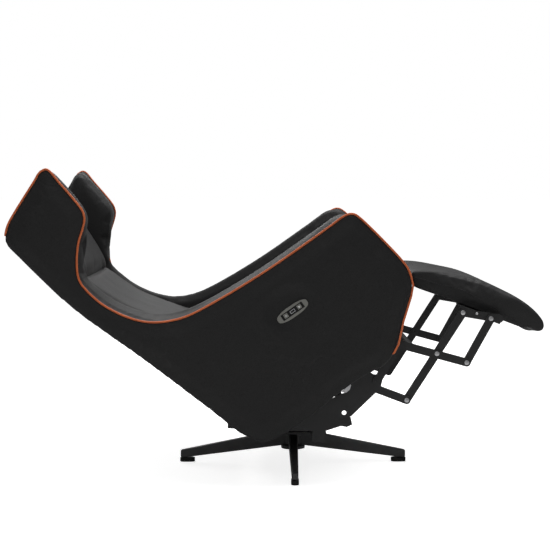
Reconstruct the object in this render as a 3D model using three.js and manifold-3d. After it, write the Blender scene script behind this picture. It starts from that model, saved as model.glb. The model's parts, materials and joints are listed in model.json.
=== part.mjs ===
// Power recliner on a swivel star base, stored fully reclined with the footrest out.
// Millimetres, +Z up, +X the way the sitter faces, origin on the floor under the middle of the chair.
// The upper shell is laid out upright about the tilt hinge, then turned back by RECLINE.
import * as THREE from "three";
import { mergeVertices } from "three/addons/utils/BufferGeometryUtils.js";
import Module from "manifold-3d";

const wasm = await Module();
wasm.setup();

// Whole chair
const SWIVEL_X = 43;
const TILT_Z = 300;
const RECLINE = THREE.MathUtils.degToRad(32);
const WIDTH = 780;
const ARM_THICK = 80;
const PAD_THICK = 26;
const BASE_RADIUS = 340;
const GAP = 0.3;
const RUN = 0.3;

// Derived half widths, each measured from the middle plane
const Y_OUT = WIDTH / 2;
const Y_ARM = Y_OUT - ARM_THICK;
const Y_PAD = Y_ARM - PAD_THICK;
const Y_SEAT = Y_PAD - 4;

// Link layers, outside to inside: every layer is one sheet thick with a thin gap to the next
const SHEET = 4;
const LAYER = 5;
const Y_SWING = Y_ARM - 5;
const layer = (n) => [Y_SWING - n * LAYER - SHEET, Y_SWING - n * LAYER];
const L_SWING = layer(0);
const L_PLATE = layer(1);
const L_REAR = layer(2);
const L_LONG = layer(3);
const L_BRACKET = layer(4);
const Y_BASE_PLATE = [Y_SWING - 33, Y_SWING - 28];

// Footrest pivots, shell frame, footrest out
const G = [188, -132];
const H = [297, -79];
const D = [372, -157];
const C = [430, -223];
const E = [231, -224];
const B = [495, -98];
const A = [553, -154];
const F = [167, -140];
const BRACKET_TIP = [573, -168];
const SLOT_TOP = [178, -108];
const LINK_R = 11.5;
const PIN_R = 4.5;
const OPEN_PIVOT_PLAY = 1.4;
const SLOT_PLAY = 1.8;
const TUBE_R = 11;
const TUBE_ON_REAR_LINK = 0.3;

// Seat and footrest: the cushion stands on webbing over the rails
const RAIL_TOP = 84;
const WEB_THICK = 3;
const SEAT_THICK = 120;
const SEAT_TOP = RAIL_TOP + WEB_THICK + 1 + SEAT_THICK;
const SEAT_FRONT = 318;
const SEAT_BACK = -160;
const RAIL_H = 54;
const RAIL_W = 32;
const FOOT_HALF_W = 260;
const BOARD_THICK = 12;
const BOARD_INSET = 15;

// Piping and control panel
const PIPE_R = 3;
const PANEL_AT = [95, 168];
const PANEL_TURN = THREE.MathUtils.degToRad(3);
const PANEL_L = 97;
const PANEL_END_H = 23;
const PANEL_MID_H = 33;
const BUTTON_TRAVEL = 1.5;

// Base
const HUB_R = 28;
const HUB_LOW = 42;
const HUB_TOP = 100;
const GLIDE_H = 12;
const RACE_R = 120;

function mat(color, roughness, metalness) {
  return new THREE.MeshStandardMaterial({ color, roughness, metalness });
}
const M = {
  leather: () => mat(0x232325, 0.5, 0),
  liner: () => mat(0x2f2f31, 0.5, 0),
  cloth: () => mat(0x1a1a1b, 0.9, 0),
  piping: () => mat(0xd2683a, 0.5, 0),
  steel: () => mat(0x1c1c1d, 0.5, 0.6),
  zinc: () => mat(0x9a9c9e, 0.4, 0.8),
  wood: () => mat(0xa98a5e, 0.8, 0),
  webbing: () => mat(0x4a4238, 0.9, 0),
  base: () => mat(0x2c2c2e, 0.45, 0.7),
  rubber: () => mat(0x161616, 0.9, 0),
  grey: () => mat(0x78786f, 0.5, 0),
  bright: () => mat(0xc9cbcc, 0.3, 0.8),
  motor: () => mat(0x55575a, 0.6, 0.1),
};

// Solids
function toSolid(geometry) {
  const bare = new THREE.BufferGeometry();
  bare.setAttribute("position", geometry.getAttribute("position"));
  if (geometry.index) bare.setIndex(geometry.index);
  const g = mergeVertices(bare, 1e-4);
  const vertProperties = Float32Array.from(g.attributes.position.array);
  const triVerts = Uint32Array.from(g.index.array);
  return new wasm.Manifold(new wasm.Mesh({ numProp: 3, vertProperties, triVerts }));
}

function toGeometry(solid) {
  const m = solid.getMesh();
  const g = new THREE.BufferGeometry();
  g.setAttribute("position", new THREE.BufferAttribute(Float32Array.from(m.vertProperties), 3));
  g.setIndex(new THREE.BufferAttribute(Uint32Array.from(m.triVerts), 1));
  const flat = g.toNonIndexed();
  flat.computeVertexNormals();
  return flat;
}

const join = (...s) => s.reduce((a, b) => a.add(b));
const cut = (a, ...s) => s.reduce((x, b) => x.subtract(b), a);

function node(name, solid, material) {
  const mesh = new THREE.Mesh(toGeometry(solid), material);
  mesh.name = name;
  return mesh;
}

// A side view outline (x, z) as a slab between two y values, with an optional rounded rim
function slab(points, y, rim = 0, steps = 2) {
  const shape = new THREE.Shape(points.map((p) => new THREE.Vector2(p[0], p[1])));
  const g = new THREE.ExtrudeGeometry(shape, {
    depth: y[1] - y[0] - 2 * rim,
    bevelEnabled: rim > 0,
    bevelThickness: rim,
    bevelSize: rim,
    bevelOffset: -rim,
    bevelSegments: steps,
  });
  g.rotateX(Math.PI / 2);
  g.translate(0, y[1] - rim, 0);
  return toSolid(g);
}

// Half widths [inner, outer] on one side of the middle plane
const onSide = (side, y) => (side > 0 ? [y[0], y[1]] : [-y[1], -y[0]]);

function box(x, y, z) {
  const g = new THREE.BoxGeometry(x[1] - x[0], y[1] - y[0], z[1] - z[0]);
  g.translate((x[0] + x[1]) / 2, (y[0] + y[1]) / 2, (z[0] + z[1]) / 2);
  return toSolid(g);
}

function rodY(at, r, y, steps = 20) {
  const g = new THREE.CylinderGeometry(r, r, y[1] - y[0], steps);
  g.translate(at[0], (y[0] + y[1]) / 2, at[1]);
  return toSolid(g);
}

function discZ(x, y, r, z, steps = 40) {
  const g = new THREE.CylinderGeometry(r, r, z[1] - z[0], steps);
  g.rotateX(Math.PI / 2);
  g.translate(x, y, (z[0] + z[1]) / 2);
  return toSolid(g);
}

// A cylinder between two side view points at one y
function rodAlong(a, b, r, y, steps = 24) {
  const length = Math.hypot(b[0] - a[0], b[1] - a[1]);
  const g = new THREE.CylinderGeometry(r, r, length, steps);
  g.rotateX(Math.PI / 2);
  g.rotateY(Math.atan2(b[0] - a[0], b[1] - a[1]));
  g.translate((a[0] + b[0]) / 2, y, (a[1] + b[1]) / 2);
  return toSolid(g);
}

// Outlines
function curve(points, steps) {
  const c = new THREE.SplineCurve(points.map((p) => new THREE.Vector2(p[0], p[1])));
  return c.getPoints(steps).map((p) => [p.x, p.y]);
}

const chain = (...parts) => parts.flat();

// Two round ends joined by straight sides
function capsule(a, b, r, steps = 8) {
  const out = [];
  const turn = Math.atan2(b[1] - a[1], b[0] - a[0]);
  for (const [end, from] of [[b, turn - Math.PI / 2], [a, turn + Math.PI / 2]]) {
    for (let i = 0; i <= steps; i++) {
      const t = from + (Math.PI * i) / steps;
      out.push([end[0] + r * Math.cos(t), end[1] + r * Math.sin(t)]);
    }
  }
  return out;
}

// Moves a line of points sideways, to its left for a positive distance
function shift(points, d, closed = false) {
  const last = points.length - 1;
  return points.map((p, i) => {
    const a = points[i > 0 ? i - 1 : closed ? last : 0];
    const b = points[i < last ? i + 1 : closed ? 0 : last];
    const n = Math.hypot(b[0] - a[0], b[1] - a[1]);
    return [p[0] - (d * (b[1] - a[1])) / n, p[1] + (d * (b[0] - a[0])) / n];
  });
}

const lerp = (a, b, t) => [a[0] + (b[0] - a[0]) * t, a[1] + (b[1] - a[1]) * t];

// Side panel: rear edge, head, wing, sweep down to the arm, arm end, bottom edge
const REAR_EDGE = curve([[-169, -95], [-207, -42], [-235, 36], [-322, 268], [-412, 493],
  [-463, 696]], 10);
const HEAD_EDGE = curve([[-469, 722], [-468, 746], [-448, 770], [-424, 787], [-367, 815],
  [-312, 841]], 6);
const TIP_EDGE = curve([[-287, 853], [-270, 852], [-262, 839], [-258, 806], [-249, 749],
  [-245, 705], [-252, 682]], 13);
const SWEEP_EDGE = curve([[-273, 660], [-308, 628], [-346, 571], [-354, 525], [-328, 442],
  [-265, 359], [-177, 314], [-68, 302], [85, 300], [244, 307], [345, 314]], 26);
const ARM_END = curve([[368, 311], [385, 289], [411, 184], [424, 102], [411, 52]], 12);
const ARM_LOW = [[337, -18], [271, -77]];
const BOTTOM_EDGE = curve([[226, -94], [125, -90], [-24, -107]], 6);
const PANEL_OUTLINE = chain(REAR_EDGE, HEAD_EDGE, TIP_EDGE, SWEEP_EDGE, ARM_END, ARM_LOW,
  BOTTOM_EDGE).reverse();
const PIPE_LINE = chain(HEAD_EDGE.slice(2), TIP_EDGE, SWEEP_EDGE, ARM_END, ARM_LOW);

// The plywood core of a side panel, in a pocket of the cover that is open at the bottom
const CORE_HALF = 9;
const COVER_RIM = 10;
const CORE_OUTLINE = [[0, -62], [120, -60], [240, -55], [300, -10], [380, 70], [392, 110],
  [380, 180], [345, 284], [240, 277], [-60, 272], [-190, 284], [-290, 336], [-354, 440],
  [-379, 520], [-370, 575], [-335, 642], [-283, 700], [-285, 740], [-300, 800], [-425, 745],
  [-434, 690], [-401, 520], [-290, 265], [-190, -20], [-150, -60]];
const POCKET_MOUTH = [[0, -130], [110, -130], [110, -40], [0, -40]];

// Inner arm and wing pad: level with the cover at the wing, above it along the sweep and the arm
const PAD_OUTLINE = chain(
  curve([[-306, 836], [-286, 847], [-271, 843], [-264, 828], [-259, 796], [-251, 748],
    [-247, 706], [-253, 686]], 13),
  curve([[-264, 668], [-298, 622], [-337, 568], [-345, 526], [-317, 448], [-255, 373],
    [-170, 332], [-66, 319], [85, 317], [243, 324], [330, 327]], 30),
  curve([[362, 318], [380, 288], [400, 200], [404, 160]], 8),
  [[392, 146], [-100, 146], [-245, 230], [-330, 410], [-386, 590], [-410, 735], [-378, 790]],
);

function pipeLine() {
  return new THREE.CatmullRomCurve3(PIPE_LINE.map((p) => new THREE.Vector3(p[0], 0, p[1])));
}

function pipe(r, y) {
  const ring = new THREE.Shape();
  ring.absarc(0, 0, r, 0, 2 * Math.PI);
  const g = new THREE.ExtrudeGeometry(ring, {
    steps: 84,
    curveSegments: 3,
    bevelEnabled: false,
    extrudePath: pipeLine(),
  });
  g.translate(0, y, 0);
  return toSolid(g);
}

// A point along and across the control panel
function atPanel(u, v) {
  const c = Math.cos(PANEL_TURN);
  const s = Math.sin(PANEL_TURN);
  return [PANEL_AT[0] + u * c - v * s, PANEL_AT[1] + u * s + v * c];
}

// The control panel's outline drawn in by a margin: square ends, round corners, a bulging middle
function lozenge(margin, steps = 36) {
  const half = PANEL_L / 2 - margin;
  const out = [];
  for (let i = 0; i < steps; i++) {
    const t = (2 * Math.PI * (i + 0.5)) / steps;
    const along = Math.sign(Math.cos(t)) * Math.sqrt(Math.abs(Math.cos(t)));
    const across = Math.sign(Math.sin(t)) * Math.sqrt(Math.abs(Math.sin(t)));
    const bulge = (PANEL_MID_H - PANEL_END_H) * (1 - along * along);
    out.push(atPanel(half * along, across * ((PANEL_END_H + bulge) / 2 - margin)));
  }
  return out;
}

// A rectangle at a distance along the control panel
function onPanel(at, length, height) {
  const corners = [[-1, -1], [1, -1], [1, 1], [-1, 1]];
  return corners.map(([i, j]) => atPanel(at + (i * length) / 2, (j * height) / 2));
}

const PANEL_WALL = 3;
const PANEL_DEEP = 14;
const PANEL_FLANGE = 2;
const BUTTON_SIZE = 12.5;
const BUTTON_AT = 22;
const RECESS_L = 70;
const RECESS_H = 18;
const USB_L = 15;
const USB_H = 8;
const USB_WALL = 1.1;
const RECESS_DEEP = 9;

// The right side carries the control panel: outer face towards -Y
function controls(shell) {
  const face = -Y_OUT;
  const flange = slab(lozenge(0), [face - PANEL_FLANGE - GAP, face - GAP]);
  const body = slab(lozenge(PANEL_WALL), [face - GAP - 1, face + PANEL_DEEP]);
  const recess = slab(onPanel(0, RECESS_L, RECESS_H),
    [face - PANEL_FLANGE - 1, face - PANEL_FLANGE + RECESS_DEEP]);
  shell.add(node("control_bezel", cut(join(flange, body), recess), M.grey()));
  const floor = face - PANEL_FLANGE + RECESS_DEEP - GAP;
  const socket = slab(onPanel(0, USB_L, USB_H), [face - PANEL_FLANGE + 1, floor]);
  const mouth = slab(onPanel(0, USB_L - 2 * USB_WALL, USB_H - 2 * USB_WALL),
    [face - PANEL_FLANGE, floor - 2]);
  shell.add(node("usb_socket", cut(socket, mouth), M.bright()));
  for (const [name, at] of [["button_recline", -BUTTON_AT], ["button_return", BUTTON_AT]]) {
    const y = [face - PANEL_FLANGE, floor - BUTTON_TRAVEL - GAP];
    shell.add(node(name, slab(onPanel(at, BUTTON_SIZE, BUTTON_SIZE), y, 1, 1), M.grey()));
  }
}

function panelPocket() {
  return slab(lozenge(PANEL_WALL - GAP), [-Y_OUT - 1, -Y_OUT + PANEL_DEEP + GAP]);
}

// Cover, core and piping; the piping sits in a groove at the outer rim of the cover
function sidePanel(side, shell) {
  const name = side > 0 ? "left" : "right";
  const yPipe = side * (Y_OUT - 2 * PIPE_R);
  const mid = (Y_ARM + Y_OUT) / 2;
  const pocket = onSide(side, [mid - CORE_HALF - GAP, mid + CORE_HALF + GAP]);
  let cover = slab(PANEL_OUTLINE, onSide(side, [Y_ARM, Y_OUT]), COVER_RIM, 2);
  cover = cut(cover, slab(shift(CORE_OUTLINE, -GAP, true), pocket), slab(POCKET_MOUTH, pocket));
  cover = cut(cover, pipe(PIPE_R + GAP, yPipe));
  if (side < 0) cover = cut(cover, panelPocket());
  const core = slab(CORE_OUTLINE, onSide(side, [mid - CORE_HALF, mid + CORE_HALF]));
  const pad = slab(PAD_OUTLINE, onSide(side, [Y_PAD, Y_ARM - GAP]), 8, 2);
  shell.add(node(`side_cover_${name}`, cover, M.leather()));
  shell.add(node(`side_core_${name}`, core, M.wood()));
  shell.add(node(`inner_pad_${name}`, pad, M.liner()));
  shell.add(node(`piping_${name}`, pipe(PIPE_R, yPipe), M.piping()));
}

// Back: rear cover, frame board and cushions stacked forward from the rear edge
const BACK_LINE = curve([[-229, 20], [-262, 108], [-322, 268], [-412, 493], [-452, 653],
  [-461, 735]], 14);
const COVER_THICK = 16;
const BACK_BOARD = 18;
const CREASE_Z = 550;
const CUSHION_RIM = 3;

function band(points, near, far) {
  return chain(shift(points, -near), shift(points, -far).reverse());
}

function backParts(shell) {
  const wide = [-Y_ARM + GAP, Y_ARM - GAP];
  const seat = [-Y_SEAT, Y_SEAT];
  const boardFrom = 6 + COVER_THICK + GAP;
  const front = boardFrom + BACK_BOARD + GAP;
  const behind = shift(BACK_LINE, -front);
  const low = behind.filter((p) => p[1] > 60 && p[1] < CREASE_Z - 10);
  const high = behind.filter((p) => p[1] > CREASE_Z + 12);
  const lumbar = curve([[-380, CREASE_Z - 9], [-366, CREASE_Z - 14], [-350, 505], [-330, 460],
    [-300, 410], [-245, 338], [-190, 268], [-162, 200], [-168, 130], [-180, 70]], 22);
  const pillow = curve([[-386, CREASE_Z + 10], [-374, CREASE_Z], [-364, CREASE_Z + 8],
    [-352, 600], [-346, 650], [-346, 700], [-356, 755], [-376, 795], [-398, 803]], 20);
  shell.add(node("back_cover", slab(band(BACK_LINE, 6, 6 + COVER_THICK), wide), M.leather()));
  shell.add(node("back_frame", slab(band(BACK_LINE, boardFrom, boardFrom + BACK_BOARD), wide),
    M.wood()));
  shell.add(node("back_cushion", slab(chain(low, lumbar), seat, CUSHION_RIM), M.liner()));
  shell.add(node("head_cushion", slab(chain(high, pillow.reverse()), seat, CUSHION_RIM), M.liner()));
}

// Seat: four rails, webbing, cushion and front panel
const RAIL_Z = [RAIL_TOP - RAIL_H, RAIL_TOP];
const WEB_COUNT = 3;
const WEB_PITCH = 110;
const WEB_WIDTH = 60;

function seatParts(shell) {
  const outer = L_PLATE[0] - GAP;
  const x = [-150, SEAT_FRONT - 24];
  const across = [-outer, outer];
  shell.add(node("rail_front", box([x[1] - RAIL_W, x[1]], across, RAIL_Z), M.wood()));
  shell.add(node("rail_rear", box([x[0], x[0] + RAIL_W], across, RAIL_Z), M.wood()));
  for (const side of [1, -1]) {
    const span = [x[0] + RAIL_W + GAP, x[1] - RAIL_W - GAP];
    const rail = box(span, onSide(side, [outer - RAIL_W, outer]), RAIL_Z);
    shell.add(node(side > 0 ? "rail_left" : "rail_right", rail, M.wood()));
  }
  const webZ = [RAIL_TOP + GAP, RAIL_TOP + GAP + WEB_THICK];
  for (let i = 0; i < WEB_COUNT; i++) {
    const at = x[0] + 100 + i * WEB_PITCH;
    const web = box([at, at + WEB_WIDTH], [-Y_SEAT + 6, Y_SEAT - 6], webZ);
    shell.add(node(`seat_web_${i + 1}`, web, M.webbing()));
  }
  const low = webZ[1] + GAP;
  const cushion = [[SEAT_BACK + 30, low], [SEAT_FRONT, low], [SEAT_FRONT, SEAT_TOP - 30],
    [SEAT_FRONT - 12, SEAT_TOP - 8], [SEAT_FRONT - 40, SEAT_TOP], [120, SEAT_TOP - 4],
    [SEAT_BACK + 30, SEAT_TOP - 22]];
  const soft = slab(cushion, [-Y_SEAT, Y_SEAT], 10, 2);
  const front = box([x[1] + GAP, SEAT_FRONT - 4], [-Y_SEAT, Y_SEAT], [RAIL_Z[0] - 20, low - GAP]);
  shell.add(node("seat_cushion", soft, M.liner()));
  shell.add(node("seat_front_panel", front, M.cloth()));
}

// Steel side plate of the seat: hinge ear, link pivots, see-through hole and a long window
const PLATE_OUTLINE = [[-60, 20], [-60, RAIL_TOP], [185, RAIL_TOP], [185, 20], [166, -20],
  [166, -84], [184, -98], [191, -112], [200, -118], [202, -140], [186, -155], [75, -179],
  [48, -168], [20, -132], [-8, -112], [-40, -60]];
const PLATE_WINDOW = [[54, -104], [86, -104], [100, -102], [121, -98], [121, -104], [112, -112],
  [100, -115], [88, -111], [70, -108.5], [54, -107.5]];
const SLOT_DEEP = 2.8;
const HINGE_R = 9;
const CROSS_TUBE = [60, -75];
const REST_TUBE = [-60, 5];
const FOOT_MOTOR_Y = 60;
const LUG_Y = [FOOT_MOTOR_Y + 10.5, FOOT_MOTOR_Y + 15];
const SEE_HOLE = [63, -160];

function seatPlate(side, shell) {
  const y = onSide(side, L_PLATE);
  const wide = [y[0] - 1, y[1] + 1];
  let plate = slab(PLATE_OUTLINE, y);
  plate = cut(plate, rodY([0, 0], HINGE_R + RUN, wide, 28), rodY(G, PIN_R + RUN, wide));
  const blind = onSide(side, [L_PLATE[0] - 1, L_PLATE[0] + SLOT_DEEP]);
  plate = cut(plate, slab(capsule(F, SLOT_TOP, PIN_R + SLOT_PLAY), blind));
  plate = cut(plate, rodY(SEE_HOLE, 6.5, wide), slab(PLATE_WINDOW, wide));
  shell.add(node(side > 0 ? "seat_plate_left" : "seat_plate_right", plate, M.steel()));
}

function shellTubes(shell) {
  const y = [-L_PLATE[0] + GAP, L_PLATE[0] - GAP];
  shell.add(node("tilt_cross_tube", rodY(CROSS_TUBE, TUBE_R, y, 24), M.steel()));
  shell.add(node("footrest_cross_tube", rodY(REST_TUBE, TUBE_R, y, 24), M.steel()));
}

// Links: a bar with round ends, holes where another part's pin runs, pins fused to it
function bar(side, a, b, y, holes, pins) {
  const range = onSide(side, y);
  let solid = slab(capsule(a, b, LINK_R), range);
  for (const [at, r] of holes) solid = cut(solid, rodY(at, r, [range[0] - 1, range[1] + 1]));
  for (const [at, from, to] of pins) solid = join(solid, rodY(at, PIN_R, onSide(side, [from, to])));
  return solid;
}

const HOLE = PIN_R + RUN;
const HEAD = 0.7;

function linkage(shell) {
  const below = (l) => l[0] + GAP;
  for (const side of [1, -1]) {
    const name = side > 0 ? "left" : "right";
    const swing = bar(side, G, H, L_SWING, [],
      [[G, L_PLATE[0], L_SWING[1] + 1.5], [H, L_REAR[0], L_SWING[1] + 1.5]]);
    shell.add(node(`swing_arm_${name}`, swing, M.steel()));
    const rear = bar(side, H, C, L_REAR, [[H, HOLE]],
      [[D, L_LONG[0], L_REAR[1] + HEAD], [C, L_LONG[0], L_REAR[1] + HEAD]]);
    shell.add(node(`rear_link_${name}`, rear, M.steel()));
    const long = bar(side, E, B, L_LONG, [[D, HOLE], [E, HOLE], [B, PIN_R + OPEN_PIVOT_PLAY]], []);
    shell.add(node(`long_link_${name}`, long, M.steel()));
    const control = bar(side, F, E, L_REAR, [],
      [[F, L_REAR[0], L_PLATE[0] + SLOT_DEEP - GAP], [E, L_LONG[0], L_REAR[1] + HEAD]]);
    shell.add(node(`control_link_${name}`, control, M.steel()));
    const upper = bar(side, C, A, L_LONG, [[C, HOLE]], [[A, L_BRACKET[0], L_LONG[1] + HEAD]]);
    shell.add(node(`upper_link_${name}`, upper, M.steel()));
    shell.add(node(`footrest_bracket_${name}`, bracket(side), M.steel()));
  }
  const at = lerp(H, D, TUBE_ON_REAR_LINK);
  const y = [-L_REAR[0] + GAP, L_REAR[0] - GAP];
  const lug = slab(capsule(at, lugPoint(), TUBE_R), LUG_Y);
  shell.add(node("torque_tube", join(rodY(at, TUBE_R, y, 24), lug), M.steel()));
}

// The footrest cylinder's rod eye lies beside this point of the lug
function lugPoint() {
  const at = lerp(H, D, TUBE_ON_REAR_LINK);
  return [at[0] - 34, at[1] - 8];
}

// Footrest: the board's underside runs from BOARD_A to BOARD_B
const BOARD_A = [463, -27];
const BOARD_B = [622, -236];
const BOARD_LEN = Math.hypot(BOARD_B[0] - BOARD_A[0], BOARD_B[1] - BOARD_A[1]);
const ALONG = [(BOARD_B[0] - BOARD_A[0]) / BOARD_LEN, (BOARD_B[1] - BOARD_A[1]) / BOARD_LEN];

// A point a distance along the board from its rear end, and out of its underside
const onBoard = (s, out) => [
  BOARD_A[0] + s * ALONG[0] - out * ALONG[1],
  BOARD_A[1] + s * ALONG[1] + out * ALONG[0],
];
const boardRect = (s, out) => [onBoard(s[0], out[0]), onBoard(s[1], out[0]),
  onBoard(s[1], out[1]), onBoard(s[0], out[1])];

function bracket(side) {
  const y = onSide(side, L_BRACKET);
  let plate = slab(capsule(B, BRACKET_TIP, LINK_R), y);
  plate = join(plate, slab(boardRect([62, 185], [-12, -GAP]), y));
  plate = join(plate, slab(boardRect([62, 185], [-SHEET, -GAP]), onSide(side, [200, L_BRACKET[1]])));
  plate = cut(plate, rodY(A, HOLE, [y[0] - 1, y[1] + 1]));
  return join(plate, rodY(B, PIN_R, onSide(side, [L_BRACKET[0], L_LONG[1]])));
}

function footrest(shell) {
  const half = FOOT_HALF_W;
  const board = slab(boardRect([0, BOARD_LEN], [0, BOARD_THICK]),
    [-half + BOARD_INSET, half - BOARD_INSET]);
  const top = curve([[418, 30], [419, 50], [428, 70], [443, 68], [487, 38], [540, -11], [586, -57],
    [629, -120], [659, -176], [674, -225], [675, -256], [664, -271], [646, -270]], 28);
  const outline = chain(top, [onBoard(BOARD_LEN + 14, 0), onBoard(-14, 0)]);
  const nest = slab(boardRect([-GAP, BOARD_LEN + GAP], [-1, BOARD_THICK + GAP]),
    [-half + BOARD_INSET - GAP, half - BOARD_INSET + GAP]);
  const pad = cut(slab(outline, [-half, half], 6, 2), nest);
  shell.add(node("footrest_board", board, M.wood()));
  shell.add(node("footrest_pad", pad, M.liner()));
}

// Swivel frame, laid out about the swivel axis in the chair's own frame
const FRAME_PLATE = [[-190, 150], [-60, 142], [87, 142], [131, 156], [147, 153], [163, 160],
  [158, 182], [130, 186], [122, 203], [84, 214], [67, 210], [57, 206], [46, 214], [42, 226],
  [34, 240], [30, TILT_Z], [22, TILT_Z + 21], [0, TILT_Z + 30], [-22, TILT_Z + 21],
  [-30, TILT_Z], [-60, 226], [-150, 190], [-190, 166]];
const RACE_Z = HUB_TOP + GAP;
const RACE_THICK = 4;
const PLATE_Z = RACE_Z + RACE_THICK + GAP;
const BEAM_Z = PLATE_Z + 5 + GAP;
const BEAM_FRONT = 68;
const BEAM_REAR = -90;
const BEAM_W = 36;
const UPPER_RACE_X = [-120, 96];
const UPPER_RACE_HALF_W = 120;
const MOTOR_PIVOT = [-130, 195];
const MOTOR_Y = -60;

function swivelFrame(group) {
  const inner = Y_BASE_PLATE[0] - GAP;
  const race = box(UPPER_RACE_X, [-UPPER_RACE_HALF_W, UPPER_RACE_HALF_W], [PLATE_Z, PLATE_Z + 5]);
  group.add(node("swivel_upper_race", race, M.steel()));
  const beam = (x) => box([x - BEAM_W / 2, x + BEAM_W / 2], [-inner, inner], [BEAM_Z, 152]);
  group.add(node("beam_front", beam(BEAM_FRONT), M.steel()));
  const ear = (y) => slab([[-112, 150], [-142, 150], [-142, 205], [-120, 205], [-114, 180]], y);
  const ears = join(ear([MOTOR_Y - 16, MOTOR_Y - 12]), ear([MOTOR_Y + 12, MOTOR_Y + 16]));
  const foot = box([-140, -80], [MOTOR_Y - 16, MOTOR_Y + 16], [146, 152]);
  const pin = rodY(MOTOR_PIVOT, 5, [MOTOR_Y - 16, MOTOR_Y + 16]);
  group.add(node("beam_rear", join(beam(BEAM_REAR), ears, foot, pin), M.steel()));
  for (const side of [1, -1]) {
    const plate = slab(FRAME_PLATE, onSide(side, Y_BASE_PLATE));
    const pinRod = rodY([0, TILT_Z], HINGE_R, onSide(side, [Y_BASE_PLATE[0], L_PLATE[1] + GAP]), 28);
    const name = side > 0 ? "frame_plate_left" : "frame_plate_right";
    group.add(node(name, join(plate, pinRod), M.steel()));
  }
}

// Point of the shell frame, in the swivel frame's side view
function inChair(p) {
  const c = Math.cos(RECLINE);
  const s = Math.sin(RECLINE);
  return [p[0] * c - p[1] * s, TILT_Z + p[0] * s + p[1] * c];
}

// Electric cylinder: an eye at each end, the rod slides in the housing
const ROD_R = 9;
const BARREL_R = 20;

function cylinder(group, name, from, to, y, eyes, body) {
  const length = Math.hypot(to[0] - from[0], to[1] - from[1]);
  const at = (d) => lerp(from, to, d / length);
  const flat = [y - 10, y + 10];
  const wide = [y - 30, y + 30];
  const barrelEnd = length - body.open;
  const eye = rodY(from, eyes[0] + 8, flat, 24);
  const neck = rodAlong(at(4), at(30), 9, y);
  let barrel = join(rodAlong(at(24), at(barrelEnd), BARREL_R, y), eye, neck, body.gearbox(at));
  barrel = cut(barrel, rodY(from, eyes[0] + RUN, wide, 24));
  barrel = cut(barrel, rodAlong(at(34), at(barrelEnd + 5), ROD_R + GAP, y));
  group.add(node(`${name}_motor`, barrel, M.motor()));
  let rod = join(rodAlong(at(38 + body.stroke), at(length - 6), ROD_R, y), rodY(to, eyes[2], flat, 24));
  rod = cut(rod, rodY(to, eyes[1], wide, 24));
  group.add(node(`${name}_rod`, rod, M.zinc()));
}

function actuators(group, shell) {
  cylinder(group, "tilt", MOTOR_PIVOT, inChair(CROSS_TUBE), MOTOR_Y,
    [5, TUBE_R + 2.6, TUBE_R + 8], {
      open: 70,
      stroke: 44,
      gearbox: (at) => rodAlong(at(26), at(70), 26, MOTOR_Y),
    });
  cylinder(shell, "footrest", REST_TUBE, lugPoint(), FOOT_MOTOR_Y, [TUBE_R, 5, 11], {
    open: 165,
    stroke: 134,
    gearbox: () => slab([[86, -20], [122, -30], [122, -108], [104, -114], [86, -110]],
      [FOOT_MOTOR_Y - 16, FOOT_MOTOR_Y + 16]),
  });
}

// Star base: four tapered spokes from a hub, a glide under each tip
function spoke() {
  const side = [[0, 55], [BASE_RADIUS - 6, GLIDE_H + GAP], [BASE_RADIUS, GLIDE_H + 4],
    [BASE_RADIUS, 33], [BASE_RADIUS - 5, 36], [20, 99], [0, 99]];
  const shape = new THREE.Shape(side.map((p) => new THREE.Vector2(p[0], p[1])));
  const g = new THREE.ExtrudeGeometry(shape, {
    depth: 22,
    bevelThickness: 3,
    bevelSize: 2,
    bevelOffset: -2,
    bevelSegments: 1,
  });
  g.translate(0, 0, -11);
  g.rotateX(Math.PI / 2);
  const p = g.getAttribute("position");
  for (let i = 0; i < p.count; i++) p.setY(i, p.getY(i) * (1 - (0.34 * p.getX(i)) / BASE_RADIUS));
  return toSolid(g);
}

function starBase(group) {
  const profile = [[0, HUB_LOW], [36, HUB_LOW], [36, HUB_LOW + 8], [HUB_R, HUB_LOW + 14],
    [HUB_R, HUB_TOP - 8], [40, HUB_TOP - 5], [40, HUB_TOP], [0, HUB_TOP]];
  const g = new THREE.LatheGeometry(profile.map((p) => new THREE.Vector2(p[0], p[1])), 32);
  g.rotateX(Math.PI / 2);
  let star = toSolid(g);
  if (star.volume() < 0) throw new Error("hub profile");
  const names = ["front", "left", "rear", "right"];
  names.forEach((name, i) => {
    star = join(star, spoke().rotate([0, 0, 90 * i]));
    const pad = capsule([BASE_RADIUS - 32, 0], [BASE_RADIUS - 9, 0], 11, 6);
    const shape = new THREE.Shape(pad.map((p) => new THREE.Vector2(p[0], p[1])));
    const cap = new THREE.ExtrudeGeometry(shape, { depth: GLIDE_H, bevelEnabled: false });
    group.add(node(`glide_${name}`, toSolid(cap).rotate([0, 0, 90 * i]), M.rubber()));
  });
  group.add(node("star_base", star, M.base()));
  group.add(node("swivel_lower_race", discZ(0, 0, RACE_R - 15, [RACE_Z, RACE_Z + RACE_THICK]),
    M.steel()));
}

const chair = new THREE.Group();
chair.name = "recliner";
chair.position.x = SWIVEL_X;
const shell = new THREE.Group();
shell.name = "shell";
shell.position.z = TILT_Z;
shell.rotation.y = -RECLINE;
chair.add(shell);
starBase(chair);
swivelFrame(chair);
sidePanel(1, shell);
sidePanel(-1, shell);
controls(shell);
backParts(shell);
seatParts(shell);
seatPlate(1, shell);
seatPlate(-1, shell);
shellTubes(shell);
linkage(shell);
footrest(shell);
actuators(chair, shell);

export default chair;
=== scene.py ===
import json
import math

import bmesh
import bpy
from mathutils import Matrix, Vector, kdtree, noise

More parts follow.
